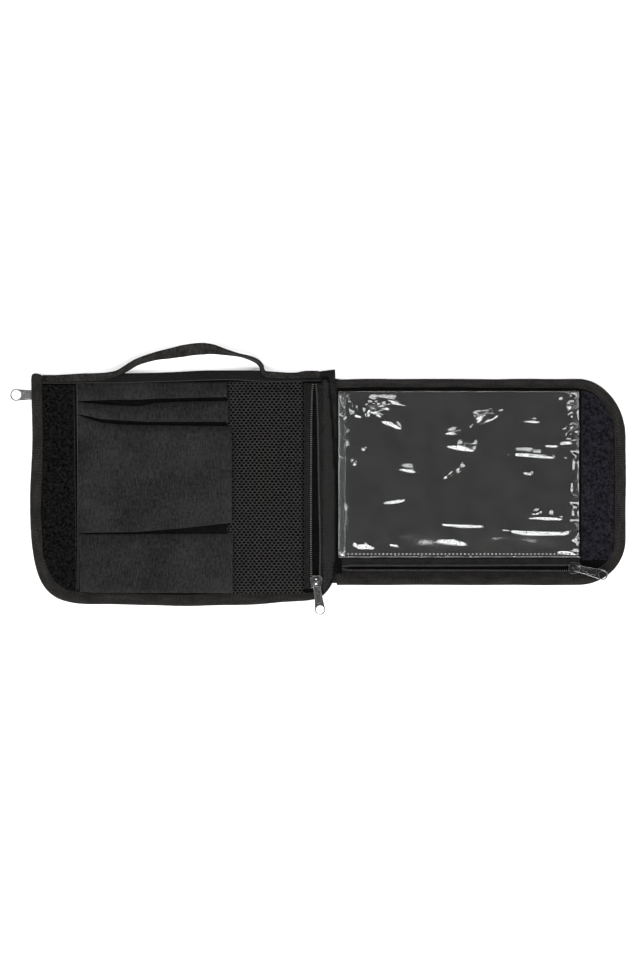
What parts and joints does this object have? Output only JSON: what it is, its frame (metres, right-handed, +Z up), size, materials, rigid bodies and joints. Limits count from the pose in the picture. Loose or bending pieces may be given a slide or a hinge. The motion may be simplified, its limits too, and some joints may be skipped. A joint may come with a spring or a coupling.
{
  "type": "passport holder",
  "caption": "Flat organiser case lying open: fabric pockets, zipped mesh pocket and webbing handle on one half, clear pocket and zip on the cover flap.",
  "frame": {"origin": "centre of the main half's back face, on the table that the open case lies on", "axes": "+X from the main half to the cover flap, +Y towards the handle, +Z up out of the pockets"},
  "size_m": [0.572, 0.2523, 0.0123],
  "materials": {
    "outer_fabric": "woven polyester, matt black",
    "card": "grey board",
    "lining": "plain woven nylon, black",
    "band": "smooth folded fabric, black",
    "binding": "grosgrain tape, brownish black",
    "webbing": "ribbed webbing, brownish black",
    "pocket_fabric": "streaky plain weave, charcoal",
    "mesh": "knitted net, dark grey",
    "loop_tape": "looped pile, black",
    "hook_tape": "hooked pile, blue black",
    "zip_tape": "woven tape, black",
    "zip_teeth": "nylon coil, dark grey",
    "slider_nickel": "nickel plated",
    "slider_dark": "gunmetal plated",
    "pull_metal": "gunmetal plated, worn bright at the rim",
    "clear_vinyl": "clear soft vinyl"
  },
  "bodies": {
    "main_panel": {"main_back_cover": "outer_fabric", "back_pocket_panel": "outer_fabric", "spine": "outer_fabric", "main_stiffener": "card", "main_lining": "lining", "top_band": "band", "main_binding": "binding", "handle_end_left": "webbing", "handle_end_right": "webbing", "pencil_sleeve": "pocket_fabric", "pen_sleeve": "pocket_fabric", "phone_pocket": "pocket_fabric", "lower_pocket": "pocket_fabric", "mesh_panel": "mesh", "mesh_side_strip": "mesh", "loop_strip": "loop_tape", "mesh_zip_tape_left": "zip_tape", "mesh_zip_tape_right": "zip_tape", "back_zip_tape_upper": "zip_tape", "back_zip_tape_lower": "zip_tape", "mesh_zip_teeth_left": "zip_teeth", "mesh_zip_teeth_right": "zip_teeth", "back_zip_teeth_upper": "zip_teeth", "back_zip_teeth_lower": "zip_teeth"},
    "flap": {"flap_back_cover": "outer_fabric", "flap_stiffener": "card", "flap_lining": "lining", "flap_binding": "binding", "flap_pocket_backing": "lining", "clear_window": "clear_vinyl", "flap_zip_tape_upper": "zip_tape", "flap_zip_tape_lower": "zip_tape", "flap_zip_teeth_upper": "zip_teeth", "flap_zip_teeth_lower": "zip_teeth", "hook_strip": "hook_tape"},
    "handle": {"handle_strap": "webbing"},
    "mesh_zip_slider": {"mesh_zip_slider": "slider_nickel"},
    "mesh_zip_pull": {"mesh_zip_pull": "pull_metal"},
    "flap_zip_slider": {"flap_zip_slider": "slider_dark"},
    "flap_zip_pull": {"flap_zip_pull": "pull_metal"},
    "back_zip_slider": {"back_zip_slider": "slider_dark"},
    "back_zip_pull": {"back_zip_pull": "pull_metal"}
  },
  "joints": [
    {"name": "flap_fold", "type": "hinge", "parent": "main_panel", "child": "flap", "pos_m": [0.142, 0, 0.0106], "axis": [0, -1, 0], "range_deg": [0, 180], "deforming": ["spine"]},
    {"name": "handle_swing", "type": "hinge", "parent": "main_panel", "child": "handle", "pos_m": [0.0083, 0.1082, 0.0076], "axis": [1, 0, 0], "range_deg": [0, 85]},
    {"name": "mesh_zip_slide", "type": "slide", "parent": "main_panel", "child": "mesh_zip_slider", "axis": [0, 1, 0], "range_m": [0, 0.174]},
    {"name": "mesh_pull_flip", "type": "hinge", "parent": "mesh_zip_slider", "child": "mesh_zip_pull", "pos_m": [0.126, -0.0856, 0.0107], "axis": [-0.9903, -0.1392, 0], "range_deg": [0, 180]},
    {"name": "flap_zip_slide", "type": "slide", "parent": "flap", "child": "flap_zip_slider", "axis": [1, 0, 0], "range_m": [-0.209, 0]},
    {"name": "flap_pull_flip", "type": "hinge", "parent": "flap_zip_slider", "child": "flap_zip_pull", "pos_m": [0.3657, -0.073, 0.0083], "axis": [0.2419, 0.9703, 0], "range_deg": [-165, 0]},
    {"name": "back_zip_slide", "type": "slide", "parent": "main_panel", "child": "back_zip_slider", "axis": [1, 0, 0], "range_m": [0, 0.24]},
    {"name": "back_pull_flip", "type": "hinge", "parent": "back_zip_slider", "child": "back_zip_pull", "pos_m": [-0.12775, 0.0874, 0.00045], "axis": [0, -1, 0], "range_deg": [0, 110]}
  ]
}
